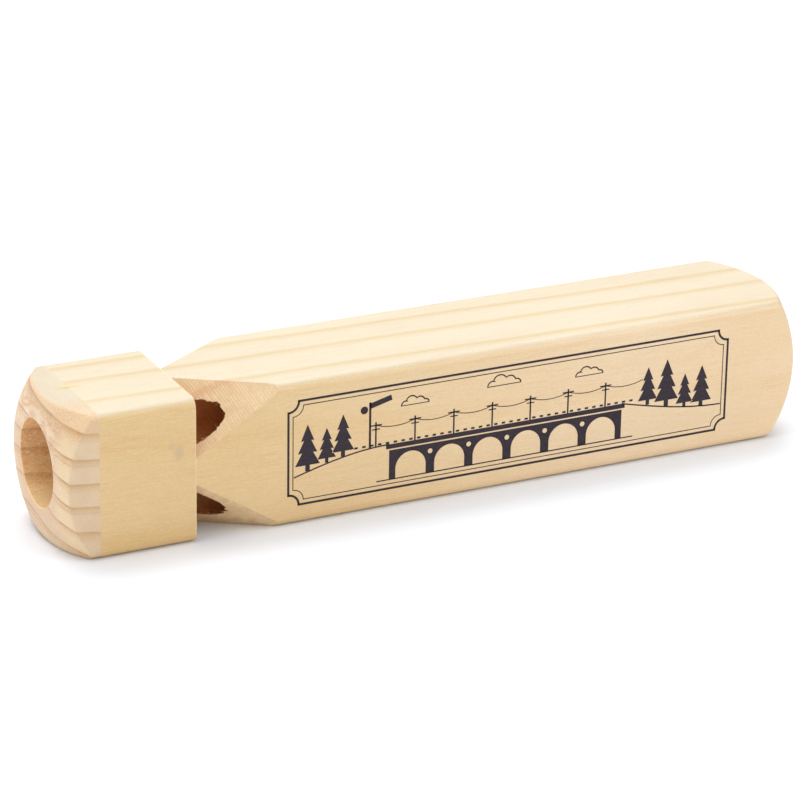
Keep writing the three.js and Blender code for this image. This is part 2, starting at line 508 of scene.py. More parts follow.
def cap_lines(level):
    """Each ring as a thin dark line with a soft glow under it, and every other one double."""
    top, count = CAP_RINGS[-1], len(CAP_RINGS)
    places = [(ring / top, number / count) for number, ring in enumerate(CAP_RINGS)]
    numbered = ramp(level / top, *places, interpolation="LINEAR") * count
    season = numbered.part()
    line = ramp(season, (0.0, 1.0), (0.03, 0.55), (0.06, 0.0), (0.95, 0.0), (0.985, 0.7), (1.0, 1.0))
    glow = ramp(season, (0.0, 0.85), (0.10, 0.0), (0.60, 0.0), (0.80, 0.35), (0.93, 0.8), (1.0, 1.0))
    double = ramp(season, (0.75, 0.0), (0.79, 0.7), (0.83, 0.0))
    even = (numbered / 2.0).part().below(0.5)
    return line.at_least(double * even), glow


print("cap rings at", CAP_RINGS)

# %% [markdown]
# The cap's face has more in it than rings. The grain swirls above the bore, and end grain shows
# pores. Painted light makes the front beside the bore creamier and the flat top paler, as painted
# sheen, and painted shade darkens the face close round the bore and under the top ring. As in the
# block, each of these is one more layer over the colour so far.

# %% The cap's wood
CAP_BASE, CAP_LINE = (0.735, 0.542, 0.365), (0.39, 0.195, 0.10)


def cap_grain(point, normal):
    """The cap's colour, a height for its fibres, and the lines and glow of its rings."""
    x, y, z = split(point)
    level = cap_level(point)
    lines, glow = cap_lines(level)
    endways = fitted(split(normal)[1].size(), 0.45, 0.9, smooth=True)
    lengthways = fitted(endways, 0.0, 1.0, 1.0, 0.0)
    # Painted shade: the dome is darker and pinker close round the bore, where its slope changes.
    painted_shade_near_bore = fitted(
        hypotenuse(y - MOUTH_BORE["y"], z - AXIS_HEIGHT), 10.5, 15.0, 1.0, 0.0, smooth=True
    )
    color = mixed(painted_shade_near_bore * 0.4, CAP_BASE, (0.66, 0.46, 0.33))
    swirl = ramp(
        noise(point, (0.1, 0.2, 0.42), 3.0, 0.6, 1.5),
        (0.38, (0.62, 0.38, 0.22)), (0.62, (0.86, 0.68, 0.50)),
    )
    above_bore = fitted(level, 23.0, 27.0) * fitted(level, 34.0, 32.0) * fitted(y.size(), 15.0, 11.0)
    color = mixed(above_bore * 0.62, color, swirl)
    # Painted light: the front of the dome beside the bore is made creamier, standing for the light on
    # its slope.
    beside = fitted(y, -10.5, -15.0, smooth=True)
    color = mixed(beside * lengthways * 0.45, color, (0.84, 0.66, 0.42))
    # A wide dark band under the top ring: partly the ring's latewood, partly painted shade along the
    # dome's upper rim.
    late_band_and_painted_shade = fitted(level, 29.0, 33.6) * level.below(CAP_RINGS[-2])
    shown = glow * fitted(beside, 0.0, 1.0, 0.38, 0.72) + late_band_and_painted_shade * lengthways * 0.3
    color = mixed(shown, color, mixed(beside, (0.54, 0.33, 0.19), (0.60, 0.36, 0.17)))
    uneven = fitted(noise(point, (0.22, 0.22, 0.05), 3.0), 0.35, 0.65, 0.4, 1.0)
    strength = fitted(endways, 0.0, 1.0, 0.7, 0.3) * fitted(level, 9.0, 5.0, 1.0, 1.35)
    color = mixed(lines * uneven * strength, color, CAP_LINE)
    fibres = noise(point, (2.2, 0.05, 2.2), 4.0, 0.6)
    speck = noise(point, (7.0, 2.0, 7.0), 2.0, 0.7)
    cloudy = noise(point, (0.2, 0.06, 0.2))
    color = toned(0.14, color, fibres, (0.25, (0.6, 0.42, 0.25)), (0.75, (1.0, 0.9, 0.75)))
    color = toned(0.34, color, speck, (0.36, 0.2), (0.64, 0.8))
    color = toned(0.35, color, cloudy, (0.35, (0.46, 0.38, 0.34)), (0.65, (0.62, 0.58, 0.5)))
    color = mixed(endways, color, (0.955, 0.975, 0.975), "MULTIPLY")
    # Painted sheen: the cap's upward faces are paler and greyer, standing for the light from above.
    painted_cap_top_sheen = fitted(split(normal)[2], 0.8, 0.98)
    color = mixed(painted_cap_top_sheen, color, (0.81, 0.945, 1.08), "MULTIPLY")
    upper_front = fitted(level, 32.5, 34.5) * fitted(y, -6.0, -10.0)
    color = mixed(upper_front * 0.25, color, (0.78, 0.45, 0.22))
    pores = ramp(noise(point, (3.4, 1.2, 3.4), 2.0, 0.7), (0.58, 0.0), (0.68, 1.0))
    color = mixed(pores * endways.at_least(upper_front * 1.5) * 0.27, color, (0.34, 0.2, 0.11))
    return color, fibres, lines, glow


print("cap grain ready")

# %% [markdown]
# The same wood has two finishes. Outside it is turned and sanded, with the ring lines a little
# sunk. It also lines the mouth's bore, where the rings are broad bands and the cutter has torn
# the fibres, most in the upper half. In the bore the wood is painted a warmer orange as painted
# shade and bounced light, darker high up and lighter low down, where the light falls in.

# %% Turned and bored pine
def turned_pine(point, normal):
    color, fibres, lines, glow = cap_grain(point, normal)
    return {
        "color": glue_stained(point, color),
        "roughness": fitted(fibres, 0.3, 0.7, 0.5, 0.62),
        "specular": 0.4,
        "bump": (fibres - lines * 0.3, 0.04, 0.6),
    }


def bored_pine(point, normal):
    color, fibres, lines, glow = cap_grain(point, normal)
    z = split(point)[2]
    torn = noise(point, (0.7, 0.8, 1.9), 4.0, 0.75, 0.8)
    grain = noise(point, (2.6, 2.6, 4.16), 3.0, 0.7)
    rough_zone = fitted(z, 8.0, 17.0, 0.35, 1.0)
    # Painted shade and bounce light: the bore is tinted orange, darker towards its top and lighter
    # towards its bottom.
    brown = mixed(fitted(z, 17.0, 8.0), (1.0, 0.56, 0.23), (1.0, 0.70, 0.30))
    color = mixed(0.65, color, brown)
    color = mixed(glow.at_least(lines) * 0.5, color, (0.55, 0.26, 0.11))
    color = toned(rough_zone * 0.75, color, torn, (0.35, 0.25), (0.5, 0.5), (0.64, 0.95))
    return {
        "color": toned(0.6, color, grain, (0.32, 0.25), (0.66, 0.8)),
        "roughness": 0.8,
        "specular": 0.25,
        "bump": (torn * rough_zone, 0.22, 0.8),
    }


TURNED, BORED = finished(turned_pine), finished(bored_pine)
print("made", TURNED.name, "and", BORED.name)

# %% [markdown]
# ## Bars and bores as meshes
#
# Each wooden piece starts as a bar with rounded long edges, and each hole as a turned shape. Both
# are rows of points, joined into faces. The rows stand close together beside each bend and far
# apart on the flats, so that light runs smoothly round the bends without wasted faces.

# %% Rows of points into a closed skin
def mesh_piece(name, points, faces, material=None):
    """A mesh object from points in millimetres."""
    mesh = bpy.data.meshes.new(name)
    mesh.from_pydata([tuple(value * MM for value in point) for point in points], [], faces)
    if material:
        mesh.materials.append(material)
    mesh.update()
    piece = bpy.data.objects.new(name, mesh)
    bpy.context.scene.collection.objects.link(piece)
    return piece


def skin_of_rows(rows, first_pole, last_pole):
    """Points and faces of a closed skin round rows of equal length, with a pole at each end."""
    count = len(rows[0])
    points = [tuple(point) for row in rows for point in row] + [first_pole, last_pole]
    faces = []
    for row in range(len(rows) - 1):
        for place in range(count):
            after = (place + 1) % count
            a, b = row * count + place, row * count + after
            faces.append((a, b, b + count, a + count))
    pole, last_row = len(points) - 2, (len(rows) - 1) * count
    for place in range(count):
        after = (place + 1) % count
        faces.append((pole, after, place))
        faces.append((pole + 1, last_row + place, last_row + after))
    return points, faces


def point_outwards(piece):
    """Turns all faces outwards and prints how many triangles the piece has."""
    mesh = piece.data
    mesh.calc_loop_triangles()
    corners = np.array([[mesh.vertices[v].co[:] for v in t.vertices] for t in mesh.loop_triangles])
    volume = np.einsum("ij,ij->i", corners[:, 0], np.cross(corners[:, 1], corners[:, 2])).sum() / 6
    if volume < 0:
        mesh.flip_normals()
    print(piece.name, len(mesh.loop_triangles), "triangles,", round(abs(volume) * 1e6, 2), "cm3")


print("mesh helpers ready")

# %% [markdown]
# The far rim of each bar is eased by half a millimetre or so, as sandpaper leaves it. Rows shrink
# towards the middle there along a parabola, and go on over the end face to its centre, so that
# the end has points enough to be turned later.

# %% The block's bar and the cap's bar
def rounded_outline(half, radius, arc_steps=14, gap=1.2, support=0.35):
    """Points round a square with rounded corners, about the bar's axis."""
    flat = half - radius
    length = 2 * flat
    last = length - support
    along = [support, *np.linspace(support, last, int(length / gap))[1:-1], last]
    points = []
    for quarter in range(4):
        cos, sin = math.cos(quarter * math.pi / 2), math.sin(quarter * math.pi / 2)
        turn = np.array([[cos, -sin], [sin, cos]])
        for angle in (math.pi / 2 * i / arc_steps for i in range(arc_steps + 1)):
            points.append(turn @ (flat + radius * math.cos(angle), flat + radius * math.sin(angle)))
        for distance in along:
            points.append(turn @ (flat - distance, half))
    return np.array(points)


def rounded_bar(name, length, ease, side_rows, material):
    """A bar from the joint to a length, which is negative towards the mouth. Its far rim is eased."""
    sign = 1 if length > 0 else -1
    reach = abs(length)
    path = [(0.0, share) for share in (0.25, 0.6, 0.9, 0.985, 1.0)]
    path += [(place, 1.0) for place in side_rows if 0 < place < reach - ease]
    for t in (step_in / 6 for step_in in range(7)):
        path.append((reach - ease * (1 - t) ** 2, 1 - ease * t * t / HALF_SIDE))
    path += [(reach, share) for share in np.linspace(1 - ease / HALF_SIDE, 0, 20)[1:-1]]
    outline = rounded_outline(HALF_SIDE, EDGE_RADIUS)
    rows = [
        [(JOINT + sign * x, y * share, AXIS_HEIGHT + z * share) for y, z in outline]
        for x, share in path
    ]
    poles = (JOINT, 0, AXIS_HEIGHT), (JOINT + length, 0, AXIS_HEIGHT)
    points, faces = skin_of_rows(rows, *poles)
    piece = mesh_piece(name, points, faces, material)
    point_outwards(piece)
    return piece


block_rows = [0.4, *np.linspace(4, BLOCK_LENGTH - 2, 24)]
block_bar = rounded_bar("block_bar", BLOCK_LENGTH, 0.55, block_rows, PLANED)
cap_bar = rounded_bar("cap_bar", -CAP_LENGTH, 0.7, [0.3, 1.2, 2.6, 4.2, 5.8, 7.0], TURNED)

# %% [markdown]
# ## Cutters
#
# A drill leaves a round hole with a cone at its end, and a saw leaves a wedge. We build one drill
# and one saw cut, each with a weight that says where its surface is torn, and later the node tree
# sets four of each round the bar and roughens every one differently.

# %% A turned shape with weights
def weigh(piece, name, values):
    """Writes a weight on each point of a piece, under a name that a node tree can read."""
    piece.data.attributes.new(name, "FLOAT", "POINT").data.foreach_set("value", values)


def turned_shape(name, profile, sides, y, z, material, weights):
    """A closed shape turned about a line along the bar, from (place, radius) pairs."""
    angles = np.linspace(0, 2 * math.pi, sides, endpoint=False)
    rows = [[(x, y + r * math.cos(a), z + r * math.sin(a)) for a in angles] for x, r in profile[1:-1]]
    points, faces = skin_of_rows(rows, (profile[0][0], y, z), (profile[-1][0], y, z))
    piece = mesh_piece(name, points, faces, material)
    for weight, values in weights.items():
        round_the_rows = [value for value in values[1:-1] for _ in range(sides)]
        weigh(piece, weight, [*round_the_rows, values[0], values[-1]])
    point_outwards(piece)
    return piece


print("turned shapes ready")

# %% [markdown]
# The mouth's bore runs through the cap and on into the block, so it is made twice, once for each
# wood. Where a cutter tears fibres its rows stand under half a millimetre apart. A chamber is
# made once, and its far end carries a second weight, so that it can be moved to any depth.

# %% The mouth's bore and one chamber
BORE_SIDES, DRILL_SIDES = 144, 112
BORE_PITCH, TEAR_PITCH = 0.45, 0.36
RIM_CLEARANCE, TORN_LENGTH = 0.06, 15


def mouth_bore_shape(name, material):
    """The bore that runs through the cap and on into the block, with a softened rim."""
    radius, ease = MOUTH_BORE["radius"], MOUTH_BORE["ease"]
    front, end = JOINT - CAP_LENGTH, JOINT + MOUTH_BORE["plenum"]
    mouth = radius + ease + RIM_CLEARANCE
    profile = [(front - 4, 0), (front - 4, mouth), (front - 0.01, mouth)]
    for t in (step_in / 8 for step_in in range(1, 9)):
        profile.append((front + ease * 1.1 * t * t, radius + ease * (1 - t) ** 2))
    profile += [(x, radius) for x in np.arange(front + 0.9, end, BORE_PITCH)]
    profile += [(end, radius), (end, 0)]
    weights = [1.0 if front + 0.7 < x < end - 0.3 and r > 1 else 0.0 for x, r in profile]
    y, z = MOUTH_BORE["y"], AXIS_HEIGHT + MOUTH_BORE["z"]
    return turned_shape(name, profile, BORE_SIDES, y, z, material, {"torn": weights})


def chamber_shape():
    """One chamber about its own axis. Its far end waits to be moved to its own depth."""
    start, torn_end = JOINT - 1, NOTCH_WALL + TORN_LENGTH
    torn_places = np.arange(NOTCH_WALL - 0.8, torn_end, TEAR_PITCH)
    places = [start, JOINT + 5, NOTCH_WALL - 2, *torn_places, torn_end, torn_end + 1]
    point_length = CHAMBER_RADIUS / math.tan(math.radians(DRILL_POINT_ANGLE / 2))
    profile = [(start, 0)] + [(x, CHAMBER_RADIUS) for x in places]
    profile.append((torn_end + 1 + point_length, 0))
    torn = [1.0 if r > 0 and NOTCH_WALL - 1 < x < torn_end - 0.5 else 0.0 for x, r in profile]
    reach = [1.0 if x > torn_end + 0.5 else 0.0 for x, r in profile]
    weights = {"torn": torn, "reach": reach}
    return turned_shape("chamber_cut", profile, DRILL_SIDES, 0, 0, DRILLED, weights)


mouth_cut_for_block = mouth_bore_shape("mouth_cut_block", DRILLED)
mouth_cut_for_cap = mouth_bore_shape("mouth_cut_cap", BORED)
chamber_cut = chamber_shape()

# %% [markdown]
# The saw cut is a wedge with a fine grid on its slope, so that the saw's relief has points to
# move. Its wall, its top and its two sides are single faces, because nothing there is roughened.

# %% One saw cut
def notch_shape(half_width=11.0, top=HALF_DIAGONAL + 0.9, pitch=0.34):
    """One saw cut about the bar's axis, towards the upper back edge."""
    span = (top - WALL_DEPTH) / NOTCH_RISE
    along = np.linspace(0, span, int(span / pitch))
    across = np.linspace(-half_width, half_width, int(2 * half_width / pitch))
    rows, columns = len(along), len(across)
    places = [(u, WALL_DEPTH + u * NOTCH_RISE, c) for u in along for c in across]
    places += [(0.0, top, c) for c in (-half_width, half_width)]
    points = [(NOTCH_WALL + u, (w + c) / ROOT_2, (w - c) / ROOT_2) for u, w, c in places]
    left_top, right_top = rows * columns, rows * columns + 1
    faces = [(r * columns + c, r * columns + c + 1, (r + 1) * columns + c + 1, (r + 1) * columns + c)
             for r in range(rows - 1) for c in range(columns - 1)]
    faces.append((*reversed(range(columns)), left_top, right_top))
    faces.append((*range((rows - 1) * columns, rows * columns), right_top, left_top))
    faces.append((*range(0, rows * columns, columns), left_top))
    faces.append((*reversed(range(columns - 1, rows * columns, columns)), right_top))
    piece = mesh_piece("notch_cut", points, faces, SAWN)
    weigh(piece, "sawn", [1.0] * ((rows - 1) * columns) + [0.0] * (columns + 2))
    point_outwards(piece)
    return piece


notch_cut = notch_shape()

# %% [markdown]
# ## Turning the ends
#
# On the real whistle both ends are turned on a sander: a flat middle, and round it a crown that
# falls away as a parabola of the distance from the middle. That is a rule, so Geometry Nodes
# apply it: each point of the bar is drawn back towards the joint by the crown's depth at its
# place.
#
# A tree is written as a recipe too. It is built when it is run, with one named input for each
# size or shape that it is given, and what it makes is kept as a plain mesh.

# %% How a tree is built and run
SOCKET_KINDS = (
    (bpy.types.Object, "NodeSocketObject"),
    (bpy.types.Material, "NodeSocketMaterial"),
    (int, "NodeSocketInt"),
    (float, "NodeSocketFloat"),
)


def new_tree(recipe, values):
    """A Geometry Nodes tree from a recipe and named after it, with an input for each value."""
    tree = bpy.data.node_groups.new(recipe.__name__, "GeometryNodeTree")
    sockets = {"Geometry": "NodeSocketGeometry"}
    for label, value in values.items():
        sockets[label] = next(kind for example, kind in SOCKET_KINDS if isinstance(value, example))
    for label, kind in sockets.items():
        tree.interface.new_socket(label, in_out="INPUT", socket_type=kind)
    tree.interface.new_socket("Geometry", in_out="OUTPUT", socket_type="NodeSocketGeometry")
    start, end = tree.nodes.new("NodeGroupInput"), tree.nodes.new("NodeGroupOutput")
    given = {socket.name: Field(socket) for socket in start.outputs if socket.name}
    feed(end.inputs["Geometry"], recipe(tree, given))
    return tree


def keep_plain(piece):
    """Replaces a piece's mesh by what its modifiers make of it, and removes them."""
    graph = bpy.context.evaluated_depsgraph_get()
    graph.update()
    old = piece.data
    piece.data = bpy.data.meshes.new_from_object(
        piece.evaluated_get(graph), preserve_all_data_layers=True, depsgraph=graph
    )
    piece.modifiers.clear()
    piece.data.name = piece.name
    if old.users == 0:
        bpy.data.meshes.remove(old)


def run_tree(piece, recipe, values):
    """Runs a recipe's tree on a piece, with its inputs set by identifier, and keeps the mesh."""
    tree = new_tree(recipe, values)
    modifier = piece.modifiers.new(tree.name, "NODES")
    modifier.node_group = tree
    for item in tree.interface.items_tree:
        if item.in_out == "INPUT" and item.name in values:
            modifier[item.identifier] = values[item.name]
    keep_plain(piece)


print("a tree can be given", *(kind for example, kind in SOCKET_KINDS))

# %% [markdown]
# The turning recipe is the parabola. Because its sizes are inputs, it turns the cap's mouth,
# which is turned true, and the block's tail, whose middle is a little off the bar's axis.

# %% Turn the mouth and the tail
def moved_by(geometry, offset):
    return step(geometry.tree, "GeometryNodeSetPosition", {"Geometry": geometry, "Offset": offset})


def turned_end(tree, given):
    x, y, z = split(step(tree, "GeometryNodeInputPosition"))
    radius = hypotenuse(y - given["Turn Y"], z - given["Turn Z"])
    past_flat = (radius - given["Flat Radius"]).at_least(0.0)
    depth = past_flat * past_flat * given["Fall"]
    share = (x - given["Joint"]) * depth / given["Length"]
    return moved_by(given["Geometry"], joined(tree, share * -1.0, 0.0, 0.0))


for bar, length, turn in ((block_bar, BLOCK_LENGTH, TAIL_TURN), (cap_bar, CAP_LENGTH, MOUTH_TURN)):
    run_tree(bar, turned_end, {
        "Length": length * MM,
        "Joint": JOINT * MM,
        "Flat Radius": turn["flat"] * MM,
        "Fall": turn["fall"] / MM,
        "Turn Y": turn["y"] * MM,
        "Turn Z": AXIS_HEIGHT * MM + turn["z"] * MM,
    })
    print(bar.name, "turned,", len(bar.data.vertices), "points")

# %% [markdown]
# ## Cutting the four corners
#
# Everything at one corner is repeated at the other three, so a node tree does it: the saw cut is
# set at four quarter turns, the drill at the four chamber axes, each chamber gets its own depth,
# and noise tears every cut differently. Then the bar has them taken away, in the maker's order.
# The Manifold solver is used because it is exact about closed shapes, and fast.

# %% Steps that the cutting trees share
def named(tree, name, kind="FLOAT"):
    """A weight that a piece's points carry."""
    return step(tree, "GeometryNodeInputNamedAttribute", {"Name": name}, "Attribute", data_type=kind)


def solid_of(given):
    """The shape of an object that the tree was given."""
    inputs = {"Object": given}
    return step(given.tree, "GeometryNodeObjectInfo", inputs, "Geometry", transform_space="ORIGINAL")


def copies_on(points, shape, **inputs):
    """A copy of a shape on each point. Realize makes them into one plain mesh."""
    inputs = {"Points": points, "Instance": shape, **inputs}
    return step(points.tree, "GeometryNodeInstanceOnPoints", inputs)


def realized(copies):
    return step(copies.tree, "GeometryNodeRealizeInstances", {0: copies})


def torn_by(geometry, amount, stretch, scale, roughness):
    """Pushes the points that are marked torn in or out, by noise, along their own direction."""
    tree = geometry.tree
    place = vector_math("MULTIPLY", step(tree, "GeometryNodeInputPosition"), stretch)
    push = (noise(place, scale, 3.0, roughness) - 0.5) * 2.0 * amount * named(tree, "torn")
    return moved_by(geometry, scaled(step(tree, "GeometryNodeInputNormal"), push))


def taken_from(body, cutter):
    inputs = {"Mesh 1": body, "Mesh 2": cutter}
    settings = {"operation": "DIFFERENCE", "solver": "MANIFOLD"}
    return step(body.tree, "GeometryNodeMeshBoolean", inputs, "Mesh", **settings)


print("cutting steps ready")

# %% [markdown]
# The saw cuts are quarter turns about the bar's axis, so they stand on four points at one place,
# each turned by its number. The drill stands on the four chamber axes, and reads from each how
# deep to go and how far to wander.

# %% Four saw cuts and four chambers
def sign_of(value):
    return value.above(0.0) * 2.0 - 1.0


def sawn_notches(tree, given):
    """Four saw cuts, a quarter turn apart, with the saw's relief on their slopes."""
    centres = step(tree, "GeometryNodeMeshLine", {
        "Count": 4,
        "Start Location": (0, 0, AXIS_HEIGHT * MM),
        "Offset": (0, 0, 0),
    })
    quarter = step(tree, "GeometryNodeInputIndex") * (math.pi / 2)
    cuts = copies_on(centres, solid_of(given["Saw Cut"]), Rotation=joined(tree, quarter, 0.0, 0.0))
    place = step(tree, "GeometryNodeInputPosition")
    x, y, z = split(place)
    ripple = noise(vector_math("MULTIPLY", place, (0.9, 0.25, 0.25)), 1100.0)
    wave = noise(place, 260.0)
    height = ((ripple - 0.5) * 0.8 + (wave - 0.5) * 1.6) * given["Saw Relief"] * named(tree, "sawn")
    outward = height * (1 / ROOT_2)
    lift = joined(tree, 0.0, outward * sign_of(y), outward * sign_of(z - AXIS_HEIGHT * MM))
    return moved_by(realized(cuts), lift)


def drilled_chambers(tree, given):
    """Four chambers, each at its own depth, torn where the saw met them."""
    drills = realized(copies_on(solid_of(given["Chamber Axes"]), solid_of(given["Drill"])))
    reach = named(tree, "reach")
    deepened = moved_by(drills, joined(tree, reach * named(tree, "depth"), 0.0, 0.0))
    wander = scaled(named(tree, "wander", "FLOAT_VECTOR"), named(tree, "torn").at_least(reach))
    return torn_by(moved_by(deepened, wander), given["Tear"], (0.55, 1.0, 1.0), 900.0, 0.75)


print("cuts ready")

# %% [markdown]
# The chamber axes are a small mesh of four points, and each point carries its chamber's depth
# and its drill's wander. The block is sawn, drilled and bored, and the cap is only bored.

# %% Cut the block and the cap
def mouth_bored(tree, given, body=None):
    """Takes away the mouth's bore, with the fibres that the cutter pulled."""
    bore = torn_by(solid_of(given["Mouth Bore"]), given["Bore Tear"], (1.0, 0.6, 1.6), 700.0, 0.7)
    return taken_from(body or given["Geometry"], bore)


def four_corners_cut(tree, given):
    body = taken_from(given["Geometry"], sawn_notches(tree, given))
    body = taken_from(body, drilled_chambers(tree, given))
    return mouth_bored(tree, given, body)


centres = [(0, y * CHAMBER_AXIS["y"], AXIS_HEIGHT + z * CHAMBER_AXIS["z"]) for y, z in CORNERS]
axes = mesh_piece("chamber_axes", centres, [])
weigh(axes, "depth", [(CHAMBER_DEPTH[corner] - TORN_LENGTH - 1) * MM for corner in CORNERS])
wander = axes.data.attributes.new("wander", "FLOAT_VECTOR", "POINT")
for corner, value in zip(CORNERS, wander.data):
    value.vector = Vector(DRILL_WANDER.get(corner, (0, 0, 0))) * MM

run_tree(block_bar, four_corners_cut, {
    "Saw Cut": notch_cut,
    "Drill": chamber_cut,
    "Chamber Axes": axes,
    "Mouth Bore": mouth_cut_for_block,
    "Saw Relief": 0.09 * MM,
    "Tear": 0.62 * MM,
    "Bore Tear": 0.08 * MM,
})
run_tree(cap_bar, mouth_bored, {"Mouth Bore": mouth_cut_for_cap, "Bore Tear": 0.08 * MM})
for cutter in (notch_cut, chamber_cut, axes, mouth_cut_for_block, mouth_cut_for_cap):
    bpy.data.objects.remove(cutter)
for bar in (block_bar, cap_bar):
    used = sorted({face.material_index for face in bar.data.polygons})
    print(bar.name, len(bar.data.polygons), "faces in", [bar.data.materials[i].name for i in used])

# %% [markdown]
# ## Sharp and smooth edges
#
# Real edges are sharp only where a tool left them. Edges that bend by more than 28 degrees are
# marked sharp, and the Weighted Normal modifier lets each big flat face keep its own direction, so
# the light on it stays even right up to the rounding beside it.

# %% Smooth shading with true flats
SHARP_ANGLE = 28


def shade_as_made(piece):
    piece.data.shade_smooth()
    piece.data.set_sharp_from_angle(angle=math.radians(SHARP_ANGLE))
    weighted = piece.modifiers.new("flats", "WEIGHTED_NORMAL")
    weighted.keep_sharp = True
    weighted.weight = 60
    keep_plain(piece)
    point_outwards(piece)


for bar, name, node, finish in (
    (block_bar, "pine_block", "whistle_block", "block_wood"),
    (cap_bar, "cross_grained_cap", "mouth_cap", "cap_wood"),
):
    bar.name = name
    shade_as_made(bar)
    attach(bar, "root")
    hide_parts(node)

# %% [markdown]
# ## The dowel plugs
#
# The four plugs are plain dowels with one flat, and only their ends and the flats show, deep in
# the mouth and the windows. The CAD solids already have that shape, so they keep it and get a
# hardwood finish: finer than pine, with end-grain dots.

# %% Dowel material on the CAD plugs
def dowel_wood(point, normal):
    fibres = noise(point, (0.08, 4.0, 4.0), 3.0, 0.6)
    color = ramp(fibres, (0.3, (0.74, 0.46, 0.21)), (0.7, (0.86, 0.60, 0.32)))
    dots = ramp(noise(point, (0.3, 7.0, 7.0), 1.0), (0.5, 0.0), (0.7, 1.0))
    end_face = split(normal)[0].size().above(0.7)
    return {
        "color": mixed(end_face * dots * 0.4, color, (0.45, 0.27, 0.13)),
        "roughness": 0.8,
        "specular": 0.2,
        "bump": (fibres, 0.05, 0.6),
    }


DOWEL = finished(dowel_wood)
for name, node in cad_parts.items():
    if name.startswith("fipple_plug"):
        node.data.materials.clear()
        node.data.materials.append(DOWEL)
print("plugs finished with", DOWEL.name)

# %% [markdown]
# ## Torn fibres at the saw cuts
#
# Where the saw broke into the chambers, the rims are ragged and a few pale fibres stand across
# the dark. There are hundreds and they follow the rims, so a node tree scatters them along
# curves. First the curves: each rim is where a chamber's round wall meets its notch's slope, and
# each sawn edge is where the slope leaves a flat face.

# %% The paths that the fibres follow
def window_rim(side, height):
    """The line where one chamber breaks through its notch's slope."""
    off = DRILL_WANDER.get((side, height), (0, 0, 0))
    y0, z0 = side * CHAMBER_AXIS["y"] + off[1], height * CHAMBER_AXIS["z"] + off[2]
    outward = math.atan2(height, side)
    rim = []
    for turn in np.linspace(-2.2, 2.2, 120):
        y = y0 + CHAMBER_RADIUS * math.cos(outward + turn)
        z = z0 + CHAMBER_RADIUS * math.sin(outward + turn)
        depth = (side * y + height * z) / ROOT_2
        if depth > WALL_DEPTH + 0.1:
            rim.append((NOTCH_WALL + (depth - WALL_DEPTH) / NOTCH_RISE, y, AXIS_HEIGHT + z))
    return rim


def notch_edges(side, height):
    """The two straight edges where a notch's slope leaves the bar's flat faces."""
    low = WALL_DEPTH * ROOT_2 - HALF_SIDE
    tip = HALF_SIDE - EDGE_RADIUS
    end = NOTCH_WALL + ((HALF_SIDE + tip) / ROOT_2 - WALL_DEPTH) / NOTCH_RISE
    ends = ((NOTCH_WALL, low), (end, tip))
    return [
        [(x, side * HALF_SIDE, AXIS_HEIGHT + height * inner) for x, inner in ends],
        [(x, side * inner, AXIS_HEIGHT + height * HALF_SIDE) for x, inner in ends],
    ]


def path_object(name, paths):
    """Straight-sided curves from (radius, closed, points), in millimetres."""
    curve = bpy.data.curves.new(name, "CURVE")
    curve.dimensions = "3D"
    for radius, closed, points in paths:
        spline = curve.splines.new("POLY")
        spline.points.add(len(points) - 1)
        for place, point in zip(spline.points, points):
            x, y, z = (*point, 0.0)[:3]
            place.co = (x * MM, y * MM, z * MM, 1)
            place.radius = radius
        spline.use_cyclic_u = closed
    piece = bpy.data.objects.new(name, curve)
    bpy.context.scene.collection.objects.link(piece)
    return piece


rims = [(1.0, False, window_rim(*corner)) for corner in CORNERS]
burrs = [(0.42, False, edge) for corner in CORNERS for edge in notch_edges(*corner)]
fibre_paths = path_object("fibre_paths", rims + burrs)
print(len(rims), "rims and", len(burrs), "sawn edges")

# %% [markdown]
# One fibre is a bent spike with three sides, a millimetre long. There will be hundreds, so it
# has only two dozen faces.

# %% One fibre
def one_fibre():
    """A bent fibre a millimetre long, three-sided and tapering to its tip."""
    places = [(0.0, 0.0, 0.06), (0.35, 0.02, 0.055), (0.7, 0.09, 0.04), (1.0, 0.2, 0.012)]
    angles = np.linspace(0, 2 * math.pi, 4)[:3]
    rows = [[(x, lift + r * math.cos(a), r * math.sin(a)) for a in angles] for x, lift, r in places]
    points, faces = skin_of_rows(rows, (-0.02, 0.0, 0.0), (1.03, 0.21, 0.0))
    piece = mesh_piece("fibre", points, faces)
    point_outwards(piece)
    return piece


fibre = one_fibre()

# %% [markdown]
# The tree sets copies of it at even steps along the curves, with sizes and directions drawn from
# fixed seeds. Most are short, because the size is a high power of the draw, and none may stand
# out past the bar's faces.

# %% Scatter the fibres
def random_between(tree, low, high, seed, kind="FLOAT"):
    first, output = (0, "Value") if kind == "FLOAT_VECTOR" else (2, 1)
    inputs = {first: low, first + 1: high, "Seed": seed}
    return step(tree, "FunctionNodeRandomValue", inputs, output, data_type=kind)


STAND_OFF, FLOOR_GAP = 0.06 * MM, 0.02 * MM
AIM_SEED, SIZE_SEED = 11, 23


